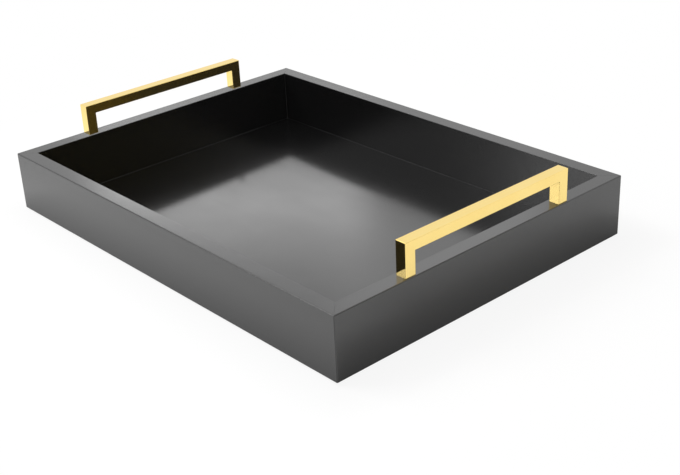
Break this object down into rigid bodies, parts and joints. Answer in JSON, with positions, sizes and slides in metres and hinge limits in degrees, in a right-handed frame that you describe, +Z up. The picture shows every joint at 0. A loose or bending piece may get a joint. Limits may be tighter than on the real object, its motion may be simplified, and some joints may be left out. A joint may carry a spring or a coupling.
{
  "type": "serving tray",
  "caption": "Rectangular serving tray in satin black lacquer, with mitred walls, a let-in base panel and square gold-coloured bar handles on its ends.",
  "frame": {"origin": "middle of the tray's footprint, on the surface that its felt pads stand on", "axes": "+X along the long walls towards the right end wall, +Y across the tray towards the back wall, +Z up out of the tray"},
  "size_m": [0.419, 0.3112, 0.0817],
  "materials": {
    "wall_lacquer": "satin black lacquer on fibreboard",
    "panel_lacquer": "satin black lacquer on fibreboard",
    "handle_gold": "polished gold-coloured plating",
    "fastener_steel": "zinc plated",
    "spline_wood": "raw birch plywood",
    "pad_felt": "pressed black felt"
  },
  "bodies": {
    "root": {"front_wall": "wall_lacquer", "back_wall": "wall_lacquer", "left_end_wall": "wall_lacquer", "right_end_wall": "wall_lacquer", "base_panel": "panel_lacquer", "left_handle": "handle_gold", "right_handle": "handle_gold", "handle_screw_left_front": "fastener_steel", "handle_screw_left_back": "fastener_steel", "handle_screw_right_front": "fastener_steel", "handle_screw_right_back": "fastener_steel", "screw_washer_left_front": "fastener_steel", "screw_washer_left_back": "fastener_steel", "screw_washer_right_front": "fastener_steel", "screw_washer_right_back": "fastener_steel", "corner_spline_front_left": "spline_wood", "corner_spline_front_right": "spline_wood", "corner_spline_back_left": "spline_wood", "corner_spline_back_right": "spline_wood", "panel_pin_front_1": "fastener_steel", "panel_pin_front_2": "fastener_steel", "panel_pin_front_3": "fastener_steel", "panel_pin_front_4": "fastener_steel", "panel_pin_back_1": "fastener_steel", "panel_pin_back_2": "fastener_steel", "panel_pin_back_3": "fastener_steel", "panel_pin_back_4": "fastener_steel", "panel_pin_left_1": "fastener_steel", "panel_pin_left_2": "fastener_steel", "panel_pin_left_3": "fastener_steel", "panel_pin_right_1": "fastener_steel", "panel_pin_right_2": "fastener_steel", "panel_pin_right_3": "fastener_steel", "foot_pad_front_left": "pad_felt", "foot_pad_front_right": "pad_felt", "foot_pad_back_left": "pad_felt", "foot_pad_back_right": "pad_felt"}
  },
  "joints": []
}
